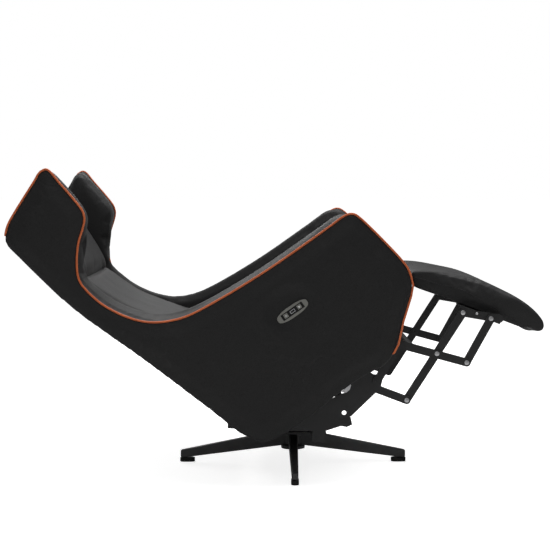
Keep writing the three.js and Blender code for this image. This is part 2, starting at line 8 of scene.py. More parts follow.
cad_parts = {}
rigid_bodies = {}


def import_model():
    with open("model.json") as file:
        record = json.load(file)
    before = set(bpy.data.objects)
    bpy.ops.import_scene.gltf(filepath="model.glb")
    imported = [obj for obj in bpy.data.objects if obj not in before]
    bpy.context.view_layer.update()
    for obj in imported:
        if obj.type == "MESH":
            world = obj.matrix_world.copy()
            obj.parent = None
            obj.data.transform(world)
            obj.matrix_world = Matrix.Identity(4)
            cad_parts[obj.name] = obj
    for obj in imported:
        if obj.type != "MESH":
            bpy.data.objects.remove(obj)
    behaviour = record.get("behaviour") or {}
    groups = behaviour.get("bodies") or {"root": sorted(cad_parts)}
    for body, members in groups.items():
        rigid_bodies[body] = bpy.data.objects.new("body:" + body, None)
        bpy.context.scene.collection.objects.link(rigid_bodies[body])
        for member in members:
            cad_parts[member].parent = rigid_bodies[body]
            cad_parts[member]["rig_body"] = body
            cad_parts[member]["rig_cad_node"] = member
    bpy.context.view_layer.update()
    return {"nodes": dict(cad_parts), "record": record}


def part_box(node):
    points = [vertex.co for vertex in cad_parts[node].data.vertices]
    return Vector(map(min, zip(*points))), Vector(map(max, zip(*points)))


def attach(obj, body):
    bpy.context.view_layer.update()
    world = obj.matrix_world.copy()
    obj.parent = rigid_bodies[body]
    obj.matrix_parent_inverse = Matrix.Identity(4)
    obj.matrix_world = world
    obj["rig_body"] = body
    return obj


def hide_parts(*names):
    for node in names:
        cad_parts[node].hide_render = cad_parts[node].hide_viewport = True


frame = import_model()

nodes = frame["nodes"]
scene = bpy.context.scene

# The shell is laid out upright about the tilt hinge, in millimetres, then turned back
TILT_HINGE = (0.043, 0.300)
RECLINE = math.radians(32)
HALF_WIDTH = 0.390
ARM_INSIDE = 0.310
PIPE_RADIUS = 0.003
PIPE_LINE_Y = HALF_WIDTH - 2 * PIPE_RADIUS


def in_shell(x, z, y=0.0):
    """A point of the upright shell (x, z in millimetres, y in metres) where it is in the chair."""
    x, z = x / 1000, z / 1000
    c, s = math.cos(RECLINE), math.sin(RECLINE)
    return Vector((TILT_HINGE[0] + x * c - z * s, y, TILT_HINGE[1] + x * s + z * c))


def to_shell(p):
    """The same, the other way: metres in the chair to millimetres in the upright shell."""
    dx, dz = p.x - TILT_HINGE[0], p.z - TILT_HINGE[1]
    c, s = math.cos(RECLINE), math.sin(RECLINE)
    return Vector(((dx * c + dz * s) * 1000, (-dx * s + dz * c) * 1000))


# ---------------------------------------------------------------- camera and studio

LENS = 1386 / 550 * 36


def make_camera():
    """The picture's own view: a long lens from the chair's right side, a little above it."""
    data = bpy.data.cameras.new("camera")
    data.lens = LENS
    data.sensor_width = 36
    camera = bpy.data.objects.new("camera", data)
    scene.collection.objects.link(camera)
    camera.location = (-0.0353, -4.16, 0.8451)
    camera.rotation_euler = (math.radians(90 - 3.84), 0, math.radians(-0.33))
    scene.camera = camera


def only(obj):
    """Selects obj and nothing else."""
    bpy.ops.object.select_all(action="DESELECT")
    obj.select_set(True)
    bpy.context.view_layer.objects.active = obj


def smoothstep(a, b, x):
    """Rises smoothly from 0 at a to 1 at b; a may lie above b."""
    t = min(1.0, max(0.0, (x - a) / (b - a)))
    return t * t * (3 - 2 * t)


# ---------------------------------------------------------------- shader building


def put(tree, kind, **given):
    """Adds a shader node. A given name is a property, or a socket by its name with _ for a space."""
    node = tree.nodes.new(kind)
    for key, value in given.items():
        if hasattr(node, key):
            setattr(node, key, value)
            continue
        name = key.replace("_", " ")
        socket = node.inputs[int(key[1:])] if key[0] == "i" and key[1:].isdigit() else node.inputs[name]
        if isinstance(value, bpy.types.NodeSocket):
            tree.links.new(value, socket)
        else:
            socket.default_value = value
    return node


def math_node(tree, operation, a, b=0.0, clamp=False):
    return put(tree, "ShaderNodeMath", operation=operation, use_clamp=clamp, i0=a, i1=b).outputs[0]


def spread(tree, value, low, high, to_low=0.0, to_high=1.0):
    """Maps low..high of a value to to_low..to_high, held at the ends."""
    node = put(tree, "ShaderNodeMapRange", i0=value, i1=low, i2=high, i3=to_low, i4=to_high)
    return node.outputs[0]


def noise_at(tree, vector, scale, detail=3.0, rough=0.5, warp=0.0):
    node = put(tree, "ShaderNodeTexNoise", Vector=vector, Scale=scale, Detail=detail,
               Roughness=rough, Distortion=warp)
    return node.outputs[0]


def effect(name, inputs, outputs):
    """An empty node group with float or vector inputs and float outputs; returns tree, in, out."""
    tree = bpy.data.node_groups.new(name, "ShaderNodeTree")
    for label, kind, value in inputs:
        socket = tree.interface.new_socket(label, in_out="INPUT", socket_type=kind)
        if kind == "NodeSocketFloat":
            socket.default_value = value
    for label in outputs:
        tree.interface.new_socket(label, in_out="OUTPUT", socket_type="NodeSocketFloat")
    return tree, tree.nodes.new("NodeGroupInput").outputs, tree.nodes.new("NodeGroupOutput").inputs


FLOAT, VECTOR = "NodeSocketFloat", "NodeSocketVector"


def make_grain():
    """Pebbled hide: small rounded cells with pores between, and a slow change of tone."""
    tree, given, out = effect("hide_grain", [("Vector", VECTOR, 0), ("Scale", FLOAT, 700.0)],
                              ["Height", "Tone", "Pores"])
    link = tree.links.new
    bent = put(tree, "ShaderNodeTexNoise", Vector=given["Vector"], Scale=90.0, Detail=2.0)
    shifted = put(tree, "ShaderNodeVectorMath", operation="MULTIPLY_ADD")
    link(bent.outputs[1], shifted.inputs[0])
    shifted.inputs[1].default_value = (0.0025, 0.0025, 0.0025)
    link(given["Vector"], shifted.inputs[2])
    cells = put(tree, "ShaderNodeTexVoronoi", feature="SMOOTH_F1", Vector=shifted.outputs[0],
                Scale=given["Scale"], Smoothness=0.35)
    fine = noise_at(tree, given["Vector"], 2400.0, 2.0)
    dome = spread(tree, cells.outputs[0], 0.0, 0.75, 1.0, 0.0)
    link(math_node(tree, "ADD", dome, math_node(tree, "MULTIPLY", fine, 0.25)), out["Height"])
    link(noise_at(tree, given["Vector"], 5.0, 4.0, 0.6), out["Tone"])
    link(spread(tree, cells.outputs[0], 0.42, 0.8), out["Pores"])
    return tree


def make_creases():
    """Sparse soft creases: thin ridges of a slow noise, only here and there."""
    tree, given, out = effect("creases", [("Vector", VECTOR, 0), ("Scale", FLOAT, 7.0)],
                              ["Height", "Mask"])
    link = tree.links.new
    slow = noise_at(tree, given["Vector"], given["Scale"], 2.0, 0.45, 1.2)
    ridge = math_node(tree, "ABSOLUTE", math_node(tree, "SUBTRACT", slow, 0.5))
    line = spread(tree, ridge, 0.0, 0.022, 1.0, 0.0)
    where = spread(tree, noise_at(tree, given["Vector"], 4.3, 1.0), 0.54, 0.66)
    mask = math_node(tree, "MULTIPLY", line, where)
    link(mask, out["Mask"])
    link(math_node(tree, "MULTIPLY", mask, -1.0), out["Height"])
    return tree


def make_dust():
    """Thin settled dust: only where the surface looks up, broken by noise."""
    tree, given, out = effect("dust", [("Vector", VECTOR, 0), ("Amount", FLOAT, 0.3)], ["Mask"])
    normal = put(tree, "ShaderNodeNewGeometry").outputs["Normal"]
    up = put(tree, "ShaderNodeSeparateXYZ", Vector=normal).outputs[2]
    facing = spread(tree, up, 0.3, 1.0)
    broken = spread(tree, noise_at(tree, given["Vector"], 38.0, 5.0, 0.65), 0.38, 0.72)
    both = math_node(tree, "MULTIPLY", facing, broken)
    tree.links.new(math_node(tree, "MULTIPLY", both, given["Amount"]), out["Mask"])
    return tree


def make_coat():
    """Powder coat: fine orange peel and a few rubbed spots."""
    tree, given, out = effect("powder_coat", [("Vector", VECTOR, 0), ("Scale", FLOAT, 900.0)],
                              ["Height", "Tone", "Rub"])
    link = tree.links.new
    link(noise_at(tree, given["Vector"], given["Scale"], 2.0, 0.5), out["Height"])
    link(noise_at(tree, given["Vector"], 14.0, 5.0, 0.6), out["Tone"])
    rub = noise_at(tree, given["Vector"], 55.0, 6.0, 0.7)
    link(spread(tree, rub, 0.66, 0.74), out["Rub"])
    return tree


def make_weave():
    """Plain weave of two crossing yarns at a given pitch, in yarns per metre."""
    tree, given, out = effect("weave", [("Vector", VECTOR, 0), ("Yarns", FLOAT, 700.0)],
                              ["Height", "Tone"])
    link = tree.links.new
    parts = put(tree, "ShaderNodeSeparateXYZ", Vector=given["Vector"]).outputs
    turned = math_node(tree, "MULTIPLY", given["Yarns"], math.pi)
    across = math_node(tree, "ADD", parts[0], parts[2])
    warp = math_node(tree, "SINE", math_node(tree, "MULTIPLY", across, turned))
    weft = math_node(tree, "SINE", math_node(tree, "MULTIPLY", parts[1], turned))
    cross = math_node(tree, "MULTIPLY", warp, weft)
    link(spread(tree, cross, -1.0, 1.0), out["Height"])
    link(noise_at(tree, given["Vector"], 160.0, 3.0), out["Tone"])
    return tree


def make_brush():
    """Fine drawn scratches along one direction: the vector is stretched before it comes in."""
    tree, given, out = effect("brushed", [("Vector", VECTOR, 0), ("Scale", FLOAT, 60.0)],
                              ["Height", "Tone"])
    lines = noise_at(tree, given["Vector"], given["Scale"], 6.0, 0.7)
    tree.links.new(lines, out["Height"])
    tree.links.new(noise_at(tree, given["Vector"], 3.0, 3.0), out["Tone"])
    return tree


GROUPS = {}


def use(tree, group, vector, **values):
    """Places a shared effect in a material with its own values."""
    node = tree.nodes.new("ShaderNodeGroup")
    node.node_tree = GROUPS[group]
    tree.links.new(vector, node.inputs["Vector"])
    for key, value in values.items():
        node.inputs[key].default_value = value
    return node.outputs


def start(name, **constants):
    """A new material: its tree, its Principled shader and its object coordinates."""
    made = bpy.data.materials.new(name)
    made.use_nodes = True
    tree = made.node_tree
    tree.nodes.clear()
    shader = put(tree, "ShaderNodeBsdfPrincipled")
    for key, value in constants.items():
        shader.inputs[key.replace("_", " ")].default_value = value
    out = put(tree, "ShaderNodeOutputMaterial")
    tree.links.new(shader.outputs[0], out.inputs[0])
    where = put(tree, "ShaderNodeTexCoord").outputs["Object"]
    return made, tree, shader, where


def blend_colour(tree, factor, a, b):
    node = put(tree, "ShaderNodeMix", data_type="RGBA")
    if isinstance(factor, bpy.types.NodeSocket):
        tree.links.new(factor, node.inputs[0])
    else:
        node.inputs[0].default_value = factor
    for socket, value in ((node.inputs[6], a), (node.inputs[7], b)):
        if isinstance(value, bpy.types.NodeSocket):
            tree.links.new(value, socket)
        else:
            socket.default_value = (*value, 1)
    return node.outputs[2]


def bump(tree, shader, height, distance, strength=1.0):
    node = put(tree, "ShaderNodeBump", Height=height, Distance=distance, Strength=strength)
    tree.links.new(node.outputs[0], shader.inputs["Normal"])


def leather(name, dark, light, roughness, crease, dust, grain=0.00016):
    """Coated hide: pebble grain, pores, creases, slow tone and a little dust."""
    made, tree, shader, where = start(name, Specular_IOR_Level=0.3, Sheen_Weight=0.03,
                                      Sheen_Roughness=0.45)
    hide = use(tree, "hide_grain", where, Scale=620.0)
    fold = use(tree, "creases", where, Scale=7.0)
    settled = use(tree, "dust", where, Amount=dust)
    colour = blend_colour(tree, spread(tree, hide["Tone"], 0.3, 0.7), dark, light)
    pores = math_node(tree, "MULTIPLY", hide["Pores"], 0.45)
    colour = blend_colour(tree, pores, colour, tuple(0.5 * c for c in dark))
    rubbed = math_node(tree, "MULTIPLY", fold["Mask"], 0.25)
    colour = blend_colour(tree, rubbed, colour, tuple(1.7 * c for c in light))
    colour = blend_colour(tree, settled["Mask"], colour, (0.16, 0.155, 0.15))
    tree.links.new(colour, shader.inputs["Base Color"])
    gloss = spread(tree, hide["Tone"], 0.25, 0.75, roughness - 0.05, roughness + 0.06)
    gloss = math_node(tree, "ADD", gloss, math_node(tree, "MULTIPLY", hide["Pores"], 0.12))
    gloss = math_node(tree, "ADD", gloss, math_node(tree, "MULTIPLY", settled["Mask"], 0.3))
    tree.links.new(gloss, shader.inputs["Roughness"])
    height = math_node(tree, "MULTIPLY", hide["Height"], grain)
    height = math_node(tree, "ADD", height, math_node(tree, "MULTIPLY", fold["Height"], crease))
    bump(tree, shader, height, 1.0)
    return made


def painted_steel(name, dark, light, roughness, bare, peel=0.00004, dust=0.12):
    """Powder-coated steel, with bare metal at a few rubbed spots."""
    made, tree, shader, where = start(name, Specular_IOR_Level=0.5)
    coat = use(tree, "powder_coat", where, Scale=900.0)
    settled = use(tree, "dust", where, Amount=dust)
    colour = blend_colour(tree, spread(tree, coat["Tone"], 0.3, 0.7), dark, light)
    rub = math_node(tree, "MULTIPLY", coat["Rub"], bare)
    colour = blend_colour(tree, rub, colour, (0.16, 0.16, 0.165))
    colour = blend_colour(tree, settled["Mask"], colour, (0.17, 0.165, 0.16))
    tree.links.new(colour, shader.inputs["Base Color"])
    tree.links.new(math_node(tree, "MULTIPLY", rub, 0.8), shader.inputs["Metallic"])
    gloss = spread(tree, coat["Tone"], 0.25, 0.75, roughness - 0.06, roughness + 0.06)
    tree.links.new(gloss, shader.inputs["Roughness"])
    bump(tree, shader, math_node(tree, "MULTIPLY", coat["Height"], peel), 1.0)
    return made


def bright_steel(name, colour_a, colour_b, roughness, stretch):
    """Bare or plated steel with fine drawn lines across the stretch."""
    made, tree, shader, where = start(name, Metallic=1.0)
    drawn = put(tree, "ShaderNodeMapping", Vector=where, Scale=stretch)
    lines = use(tree, "brushed", drawn.outputs[0], Scale=60.0)
    colour = blend_colour(tree, spread(tree, lines["Tone"], 0.3, 0.7), colour_a, colour_b)
    tree.links.new(colour, shader.inputs["Base Color"])
    gloss = spread(tree, lines["Height"], 0.3, 0.7, roughness - 0.07, roughness + 0.09)
    tree.links.new(gloss, shader.inputs["Roughness"])
    bump(tree, shader, math_node(tree, "MULTIPLY", lines["Height"], 0.00004), 1.0)
    return made


def plastic(name, dark, light, roughness, texture=0.00005, scale=1500.0, dust=0.1):
    """Moulded plastic or rubber: spark texture, slow tone, a little dust."""
    made, tree, shader, where = start(name, Specular_IOR_Level=0.45)
    coat = use(tree, "powder_coat", where, Scale=scale)
    settled = use(tree, "dust", where, Amount=dust)
    colour = blend_colour(tree, spread(tree, coat["Tone"], 0.3, 0.7), dark, light)
    colour = blend_colour(tree, settled["Mask"], colour, (0.2, 0.195, 0.19))
    tree.links.new(colour, shader.inputs["Base Color"])
    gloss = spread(tree, coat["Tone"], 0.25, 0.75, roughness - 0.05, roughness + 0.07)
    tree.links.new(gloss, shader.inputs["Roughness"])
    bump(tree, shader, math_node(tree, "MULTIPLY", coat["Height"], texture), 1.0)
    return made


def woven(name, dark, light, yarns, depth):
    """Woven cloth or webbing: crossing yarns with a little fuzz."""
    made, tree, shader, where = start(name, Specular_IOR_Level=0.2, Sheen_Weight=0.2,
                                      Sheen_Roughness=0.5)
    cloth = use(tree, "weave", where, Yarns=yarns)
    settled = use(tree, "dust", where, Amount=0.15)
    colour = blend_colour(tree, cloth["Height"], dark, light)
    toned = math_node(tree, "MULTIPLY", cloth["Tone"], 0.4)
    colour = blend_colour(tree, toned, colour, dark)
    colour = blend_colour(tree, settled["Mask"], colour, (0.15, 0.145, 0.14))
    tree.links.new(colour, shader.inputs["Base Color"])
    tree.links.new(spread(tree, cloth["Tone"], 0.3, 0.7, 0.82, 0.95), shader.inputs["Roughness"])
    bump(tree, shader, math_node(tree, "MULTIPLY", cloth["Height"], depth), 1.0)
    return made


def plywood(name):
    """Raw plywood: long soft figure with fine fibres."""
    made, tree, shader, where = start(name, Specular_IOR_Level=0.3)
    long_way = put(tree, "ShaderNodeMapping", Vector=where, Scale=(3.0, 22.0, 60.0))
    figure = use(tree, "brushed", long_way.outputs[0], Scale=3.0)
    settled = use(tree, "dust", where, Amount=0.2)
    colour = blend_colour(tree, spread(tree, figure["Height"], 0.3, 0.7),
                          (0.30, 0.18, 0.085), (0.46, 0.31, 0.16))
    colour = blend_colour(tree, settled["Mask"], colour, (0.4, 0.36, 0.3))
    tree.links.new(colour, shader.inputs["Base Color"])
    gloss = spread(tree, figure["Tone"], 0.3, 0.7, 0.62, 0.8)
    tree.links.new(gloss, shader.inputs["Roughness"])
    bump(tree, shader, math_node(tree, "MULTIPLY", figure["Height"], 0.0002), 1.0)
    return made


FINISH = {}


def make_finishes():
    """Builds the shared effects, then one material for each finish."""
    GROUPS.update(hide_grain=make_grain(), creases=make_creases(), dust=make_dust(),
                  powder_coat=make_coat(), weave=make_weave(), brushed=make_brush())
    FINISH.update(
        cover_leather=leather("cover_leather", (0.0090, 0.0090, 0.0093), (0.0125, 0.0123, 0.0123),
                              0.56, 0.0009, 0.04),
        # Same hide as cover_leather, but painted lighter: the extra brightness is painted light from
        # above on the inner, upward-facing faces.
        inner_leather=leather("inner_leather", (0.0125, 0.0125, 0.0129), (0.0175, 0.0172, 0.0175),
                              0.58, 0.0005, 0.04),
        orange_piping=leather("orange_piping", (0.55, 0.115, 0.034), (0.68, 0.165, 0.055),
                              0.45, 0.0, 0.03, 0.00012),
        lining_cloth=woven("lining_cloth", (0.008, 0.008, 0.009), (0.02, 0.02, 0.021), 900.0, 0.0003),
        web_cloth=woven("web_cloth", (0.035, 0.028, 0.022), (0.09, 0.075, 0.06), 420.0, 0.0007),
        black_steel=painted_steel("black_steel", (0.005, 0.005, 0.0054), (0.0085, 0.0085, 0.0088),
                                  0.5, 0.3),
        base_metal=painted_steel("base_metal", (0.040, 0.040, 0.042), (0.055, 0.055, 0.057),
                                 0.42, 0.3),
        glide_rubber=plastic("glide_rubber", (0.006, 0.006, 0.006), (0.012, 0.012, 0.012), 0.7),
        motor_plastic=plastic("motor_plastic", (0.07, 0.075, 0.08), (0.11, 0.115, 0.12), 0.5),
        grey_plastic=plastic("grey_plastic", (0.15, 0.15, 0.135), (0.21, 0.21, 0.19), 0.42),
        recess_plastic=plastic("recess_plastic", (0.008, 0.008, 0.008), (0.014, 0.014, 0.014), 0.5),
        frame_wood=plywood("frame_wood"),
        rod_steel=bright_steel("rod_steel", (0.42, 0.43, 0.44), (0.56, 0.57, 0.58), 0.28,
                               (1.0, 18.0, 18.0)),
        socket_metal=bright_steel("socket_metal", (0.62, 0.63, 0.64), (0.75, 0.76, 0.77), 0.2,
                                  (4.0, 4.0, 4.0)),
        rivet_steel=bright_steel("rivet_steel", (0.40, 0.40, 0.41), (0.60, 0.60, 0.61), 0.3,
                                 (9.0, 9.0, 9.0)),
    )


def dress(obj, finish):
    """Gives obj that finish and nothing else."""
    obj.data.materials.clear()
    obj.data.materials.append(FINISH[finish])
    return obj


def dress_frame():
    """Every CAD node takes the finish of its own slot in the record."""
    for part in frame["record"]["subparts"]:
        obj = nodes[part["node"]]
        for held in obj.material_slots:
            held.material = FINISH[part["material_slot"]]


# ---------------------------------------------------------------- hand modelling


def edit(obj):
    """Opens obj alone in edit mode."""
    only(obj)
    bpy.ops.object.mode_set(mode="EDIT")


def finish_edit():
    bpy.ops.object.mode_set(mode="OBJECT")


def pick(obj, test, kind="faces"):
    """In edit mode, selects only the faces, edges or verts whose middle passes the test."""
    bpy.ops.mesh.select_all(action="DESELECT")
    mesh = bmesh.from_edit_mesh(obj.data)
    for part in getattr(mesh, kind):
        middle = part.co if kind == "verts" else (
            part.calc_center_median() if kind == "faces" else
            (part.verts[0].co + part.verts[1].co) / 2)
        if test(middle, part):
            part.select_set(True)
    bmesh.update_edit_mesh(obj.data)


def copy_of(node, name):
    """A welded copy of a CAD node's mesh as a new piece."""
    obj = bpy.data.objects.new(name, nodes[node].data.copy())
    scene.collection.objects.link(obj)
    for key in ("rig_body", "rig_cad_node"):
        if key in obj:
            del obj[key]
    obj.data.materials.clear()
    edit(obj)
    bpy.ops.mesh.select_all(action="SELECT")
    bpy.ops.mesh.remove_doubles(threshold=2e-5)
    finish_edit()
    if obj.data.has_custom_normals:
        bpy.ops.mesh.customdata_custom_splitnormals_clear()
    return obj


def add_modifier(obj, kind, **values):
    """Adds a modifier, sets it and applies it."""
    only(obj)
    modifier = obj.modifiers.new(kind.lower(), kind)
    for key, value in values.items():
        setattr(modifier, key, value)
    bpy.ops.object.modifier_apply(modifier=modifier.name)


def remesh(obj, voxel, smooth):
    """Even quads all over, then softened corners."""
    add_modifier(obj, "REMESH", mode="VOXEL", voxel_size=voxel, use_smooth_shade=True)
    add_modifier(obj, "SMOOTH", factor=0.5, iterations=smooth)


def push(obj, how_far):
    """Moves each point along its normal by how_far(point, normal) metres."""
    normals = [v.normal.copy() for v in obj.data.vertices]
    for vert, normal in zip(obj.data.vertices, normals):
        vert.co = vert.co + normal * how_far(vert.co, normal)


def inflate(obj, cap, hold=lambda p, n: 1.0, pressure=4.0):
    """Blows the closed skin up as foam does under a sewn cover; hold scales each point's travel."""
    mesh = obj.data
    rest = [v.co.copy() for v in mesh.vertices]
    normals = [v.normal.copy() for v in mesh.vertices]
    only(obj)
    moved = simulate(obj, pressure)
    for vert, a, b, normal in zip(mesh.vertices, rest, moved, normals):
        step = b - a
        limit = cap * hold(a, normal)
        length = step.length
        if length > 1e-9 and limit > 0:
            vert.co = a + step * (limit * math.tanh(length / limit) / length)
        else:
            vert.co = a


def simulate(obj, pressure):
    """Cloth under air pressure with gravity off; returns where every point went."""
    cloth = obj.modifiers.new("cloth", "CLOTH")
    cloth.settings.quality = 4
    cloth.settings.mass = 0.3
    cloth.settings.tension_stiffness = 20
    cloth.settings.compression_stiffness = 8
    cloth.settings.shear_stiffness = 6
    cloth.settings.bending_stiffness = 0.8
    cloth.settings.use_pressure = True
    cloth.settings.uniform_pressure_force = pressure
    cloth.settings.effector_weights.gravity = 0
    cloth.collision_settings.use_collision = False
    cloth.collision_settings.use_self_collision = False
    cloth.point_cache.frame_start = 1
    cloth.point_cache.frame_end = 20
    for f in range(1, 21):
        scene.frame_set(f)
    graph = bpy.context.evaluated_depsgraph_get()
    moved = [v.co.copy() for v in obj.evaluated_get(graph).data.vertices]
    obj.modifiers.remove(cloth)
    scene.frame_set(1)
    return moved


def refine(obj):
    """One subdivision, smooth shading."""
    add_modifier(obj, "SUBSURF", levels=1, render_levels=1)
    only(obj)
    bpy.ops.object.shade_smooth()


def cushion(obj, node, finish, body):
    """Gives a padded piece its finish, hides the CAD part it replaces and attaches it to its body."""
    dress(obj, finish)
    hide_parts(*([node] if isinstance(node, str) else node))
    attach(obj, body)
    return obj


def tube(name, points, radius, closed=False, resolution=4, sides=4):
    """A round cord along smooth points, as a mesh, with closed ends."""
    data = bpy.data.curves.new(name, "CURVE")
    data.dimensions = "3D"
    data.bevel_depth = radius
    data.bevel_resolution = sides
    data.resolution_u = resolution
    data.use_fill_caps = not closed
    spline = data.splines.new("BEZIER")
    spline.bezier_points.add(len(points) - 1)
    for knot, p in zip(spline.bezier_points, points):
        knot.co = p
        knot.handle_left_type = knot.handle_right_type = "AUTO"
    spline.use_cyclic_u = closed
    obj = bpy.data.objects.new(name, data)
    scene.collection.objects.link(obj)
    only(obj)
    bpy.ops.object.convert(target="MESH")
    obj = bpy.context.view_layer.objects.active
    edit(obj)
    bpy.ops.mesh.select_all(action="SELECT")
    bpy.ops.mesh.remove_doubles(threshold=1e-5)
    bpy.ops.mesh.normals_make_consistent(inside=False)
    finish_edit()
    bpy.ops.object.shade_smooth()
    return obj


def smooth_loop(points, closed, steps):
    """Points along a smooth line through the given ones."""
    data = bpy.data.curves.new("line", "CURVE")
    data.dimensions = "3D"
    data.resolution_u = steps
    spline = data.splines.new("BEZIER")
    spline.bezier_points.add(len(points) - 1)
    for knot, p in zip(spline.bezier_points, points):
        knot.co = p
        knot.handle_left_type = knot.handle_right_type = "AUTO"
    spline.use_cyclic_u = closed
    obj = bpy.data.objects.new("line", data)
    scene.collection.objects.link(obj)
    only(obj)
    bpy.ops.object.convert(target="MESH")
    obj = bpy.context.view_layer.objects.active
    found = [v.co.copy() for v in obj.data.vertices]
    bpy.data.objects.remove(obj)
    return found


# ---------------------------------------------------------------- side panels


def panel_outline():
    """The side panel's outline, in order, at the front of the CAD cover's straight rim."""
    source = copy_of("side_cover_left", "outline_source")
    mesh = bmesh.new()
    mesh.from_mesh(source.data)
    rim = HALF_WIDTH - 0.010
    ring = [v for v in mesh.verts if abs(v.co.y - rim) < 2e-5]
    near = {v: [e.other_vert(v) for e in v.link_edges if abs(e.other_vert(v).co.y - rim) < 2e-5]
            for v in ring}
    line, seen = [ring[0]], {ring[0]}
    while True:
        after = [v for v in near[line[-1]] if v not in seen]
        if not after:
            break
        line.append(after[0])
        seen.add(after[0])
    points = [Vector((v.co.x, 0, v.co.z)) for v in line]
    mesh.free()
    bpy.data.objects.remove(source)
    return points


PIPE_REACH = 0.018


def piped_part(outline):
    """The stretch of the outline that carries piping, in order from the rear of the head."""
    pipe = nodes["piping_left"].data.vertices
    tree = kdtree.KDTree(len(pipe))
    for i, v in enumerate(pipe):
        tree.insert(Vector((v.co.x, 0, v.co.z)), i)
    tree.balance()
    on = [tree.find(p)[2] < PIPE_REACH for p in outline]
    first = next(i for i in range(len(on)) if on[i] and not on[i - 1])
    turned = outline[first:] + outline[:first]
    run = [p for p in turned if tree.find(p)[2] < PIPE_REACH]
    if to_shell(run[0]).y < to_shell(run[-1]).y:
        run.reverse()
    return run


SEAM_INSIDE = 0.372
RIM_RISE = 0.016
# Shell height and depth over which the lifted rim fades out: up to the wing, forward to the arm end
WING_FADE = (640, 560)
ARM_FADE = (375, 330)


def rim_up(normal):
    """How far a normal points up or forward out of the upright shell."""
    c, s = math.cos(RECLINE), math.sin(RECLINE)
    return max(-normal.x * s + normal.z * c, normal.x * c + normal.z * s)


def raise_rim(rim):
    """Lifts the rim's inner edge along the sweep and the arm, so that it meets the pad."""
    for vert in rim.data.vertices:
        if abs(vert.co.y) > ARM_INSIDE:
            continue
        out = Vector((vert.normal.x, 0, vert.normal.z)).normalized()
        q = to_shell(vert.co)
        lift = smoothstep(*WING_FADE, q.y) * smoothstep(*ARM_FADE, q.x)
        vert.co += out * RIM_RISE * lift * smoothstep(0.2, 0.8, rim_up(out))


def panel_centre():
    """The middle of the control panel."""
    low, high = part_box("control_bezel")
    return (low + high) / 2


def panel_slab(name, side, outline, inner, outer):
    """The side panel's outline as a board between two distances from the middle."""
    fine = smooth_loop(outline, True, 4)
    mesh = bpy.data.meshes.new(name)
    mesh.from_pydata([(p.x, side * inner, p.z) for p in fine], [], [list(range(len(fine)))])
    obj = bpy.data.objects.new(name, mesh)
    scene.collection.objects.link(obj)
    edit(obj)
    bpy.ops.mesh.select_all(action="SELECT")
    depth = side * (outer - inner)
    bpy.ops.mesh.extrude_region_move(TRANSFORM_OT_translate={"value": (0, depth, 0)})
    bpy.ops.mesh.select_all(action="SELECT")
    bpy.ops.mesh.normals_make_consistent(inside=False)
    finish_edit()
    return obj


def side_cover(side, outline, seam_tree):
    """Outer face of a side panel: a padded skin that swells inside the piping."""
    name = "left" if side > 0 else "right"
    obj = panel_slab(f"cover_{name}", side, outline, SEAM_INSIDE, HALF_WIDTH - 0.0025)
    remesh(obj, 0.0065, 3)
    middle = panel_centre()

    def hold(p, n):
        from_seam = seam_tree.find(Vector((p.x, 0, p.z)))[2]
        if side * n.y < 0.45:
            return 0.05
        grown = smoothstep(0.004, 0.050, from_seam)
        if side < 0:
            gone = (p - middle).length
            grown *= 0.12 + 0.88 * smoothstep(0.045, 0.085, gone)
        return grown

    inflate(obj, 0.009, hold, 3.0)
    push(obj, lambda p, n: 0.0007 * noise.noise(p * 9.0) if side * n.y > 0.6 else 0.0)
    refine(obj)
    return cushion(obj, f"side_cover_{name}", "cover_leather", "shell")


def piping(side, run):
    """Piping in the seam round the head, the sweep and the arm."""
    name = "left" if side > 0 else "right"
    y = side * PIPE_LINE_Y
    line = [Vector((p.x, y, p.z)) for p in run]
    tail_in = line[-1] + Vector((-0.010, -side * 0.008, -0.004))
    head_in = line[0] + (line[0] - line[1]).normalized() * 0.006 - Vector((0, side * 0.006, 0))
    obj = tube(f"piping_cord_{name}", [head_in, *line, tail_in], 0.00295, resolution=3, sides=3)
    dress(obj, "orange_piping")
    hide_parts(f"piping_{name}")
    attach(obj, "shell")
    return obj


def inner_pad(side, outline):
    """Soft lining of one arm and wing, wrapped in one piece from the piping to the inside."""
    name = "left" if side > 0 else "right"
    obj = copy_of(f"inner_pad_{name}", f"pad_{name}")
    rim = panel_slab("rim", side, outline, ARM_INSIDE - 0.006, SEAM_INSIDE + 0.004)
    raise_rim(rim)
    only(obj)
    rim.select_set(True)
    bpy.ops.object.join()
    remesh(obj, 0.0065, 5)

    def hold(p, n):
        if side * n.y > 0.5 or abs(p.y) > SEAM_INSIDE - 0.012:
            return 0.03
        return 1.0

    inflate(obj, 0.006, hold)
    refine(obj)
    return cushion(obj, f"inner_pad_{name}", "inner_leather", "shell")


# ---------------------------------------------------------------- back, seat and footrest


BACK_SLOPE = (-0.243, 0.970)


def reach(obj, start, end, distance):
    """Draws one end of a back cushion out along the back, to close on its neighbour."""
    way = in_shell(BACK_SLOPE[0] * distance, BACK_SLOPE[1] * distance) - in_shell(0, 0)
    for vert in obj.data.vertices:
        vert.co += way * smoothstep(start, end, to_shell(vert.co).y)


def soft_piece(node, name, voxel, smooth, shrink, cap, hold, body, pressure=4.0, draw=None):
    """A cushion from its CAD solid: remeshed, drawn in a little, blown up and refined."""
    obj = copy_of(node, name)
    remesh(obj, voxel, smooth)
    push(obj, lambda p, n: -shrink)
    inflate(obj, cap, hold, pressure)
    if draw:
        reach(obj, *draw)
    push(obj, lambda p, n: 0.0009 * noise.noise(p * 14.0))
    refine(obj)
    return cushion(obj, node, "inner_leather", body)


def seat_hold(p, n):
    """The seat rests flat on its webbing."""
    q = n.x * math.sin(RECLINE) - n.z * math.cos(RECLINE)
    return 0.1 if q > 0.6 else 1.0


def back_hold(p, n):
    """The back lies flat against its board."""
    return 0.1 if n.x < -0.55 else 1.0


def footrest_hold(p, n):
    """The footrest's underside lies on its board."""
    return 0.1 if n.z < -0.55 and p.x < 0.70 else 1.0


